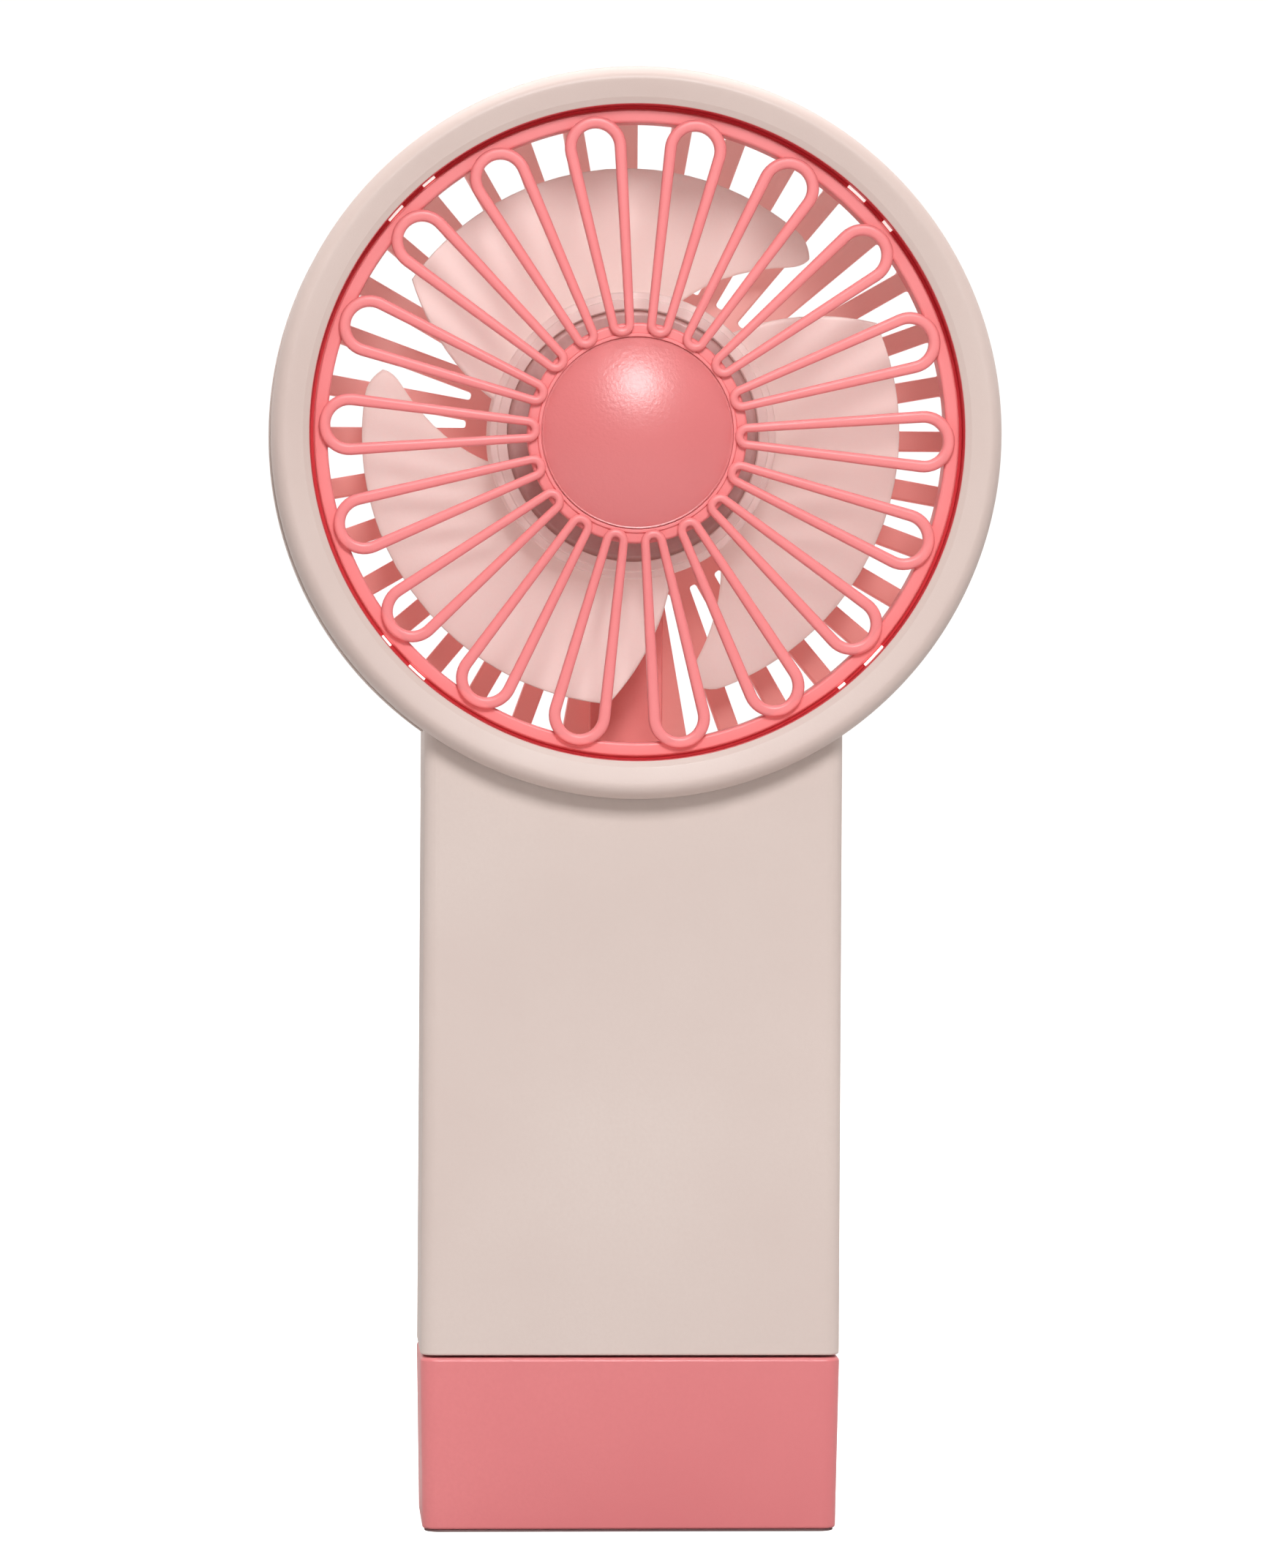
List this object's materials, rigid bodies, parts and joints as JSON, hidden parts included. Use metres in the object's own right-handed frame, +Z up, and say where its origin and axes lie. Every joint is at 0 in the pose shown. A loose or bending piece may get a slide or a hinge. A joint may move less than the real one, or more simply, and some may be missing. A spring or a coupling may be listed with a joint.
{
  "type": "handheld electric fan",
  "caption": "Handheld rechargeable fan with a round caged head, petal-loop grille, swept translucent blades, flat rectangular handle and a short swivelling stand base.",
  "frame": {"origin": "centre of the foot pad's underside, on the table", "axes": "+Z up along the handle to the fan head, -Y the way the fan blows (its front), +X to the right seen from the front"},
  "size_m": [0.096, 0.0336, 0.192],
  "materials": {
    "pale_shell": "satin, very pale warm pink",
    "coral_shell": "satin coral pink",
    "frosted_blades": "frosted translucent pinkish white",
    "foot_rubber": "matte",
    "steel": "plated",
    "brass": "turned, satin",
    "copper_winding": "enamelled wire",
    "magnet": "bonded ferrite",
    "circuit_laminate": "solder mask",
    "cell_foil": "foil pouch",
    "black_plastic": "moulded",
    "clear_lens": "translucent white",
    "white_plastic": "slippery moulded",
    "wire_red": "insulated wire",
    "wire_black": "insulated wire"
  },
  "bodies": {
    "handle": {"front_shell": "pale_shell", "rear_shell": "pale_shell", "bezel_ring": "pale_shell", "front_grille": "coral_shell", "grille_cap": "coral_shell", "rear_grille": "coral_shell", "cable_cover": "coral_shell", "rear_hub_cap": "coral_shell", "shell_screw_1": "steel", "shell_screw_2": "steel", "shell_screw_3": "steel", "shell_screw_4": "steel", "board_screw_1": "steel", "board_screw_2": "steel", "usb_c_socket": "steel", "bearing_front": "steel", "bearing_rear": "steel", "stator_core": "steel", "motor_screw_1": "steel", "motor_screw_2": "steel", "motor_screw_3": "steel", "pivot_bracket": "steel", "pivot_screw": "steel", "pivot_nut": "steel", "bearing_tube": "brass", "stator_coil_1": "copper_winding", "stator_coil_2": "copper_winding", "stator_coil_3": "copper_winding", "stator_coil_4": "copper_winding", "stator_coil_5": "copper_winding", "stator_coil_6": "copper_winding", "circuit_board": "circuit_laminate", "motor_board": "circuit_laminate", "battery_pack": "cell_foil", "tact_switch": "black_plastic", "pivot_post": "black_plastic", "indicator_led": "clear_lens", "indicator_lens": "clear_lens", "pivot_washer": "white_plastic", "motor_wire_red": "wire_red", "battery_wire_red": "wire_red", "motor_wire_black": "wire_black", "battery_wire_black": "wire_black"},
    "rotor": {"impeller": "frosted_blades", "rotor_cup": "steel", "rotor_magnet": "magnet", "motor_shaft": "steel", "shaft_clip": "steel"},
    "button": {"power_button": "coral_shell", "switch_plunger": "white_plastic"},
    "base": {"base_shell": "coral_shell", "base_plate": "steel", "foot_pad": "foot_rubber", "plate_screw_1": "steel", "plate_screw_2": "steel", "detent_ball": "steel", "detent_spring": "steel"}
  },
  "joints": [
    {"name": "impeller_spin", "type": "hinge", "parent": "handle", "child": "rotor", "pos_m": [0, 0, 0.144], "axis": [0, 1, 0], "continuous": true},
    {"name": "power_button_press", "type": "slide", "parent": "handle", "child": "button", "axis": [0, -1, 0], "range_m": [0, 0.0005], "stiffness_N_per_m": 2000, "springref_m": -0.0003},
    {"name": "base_swivel", "type": "hinge", "parent": "handle", "child": "base", "pos_m": [0, 0, 0.0229], "axis": [0, 0, 1], "range_deg": [0, 90]}
  ]
}
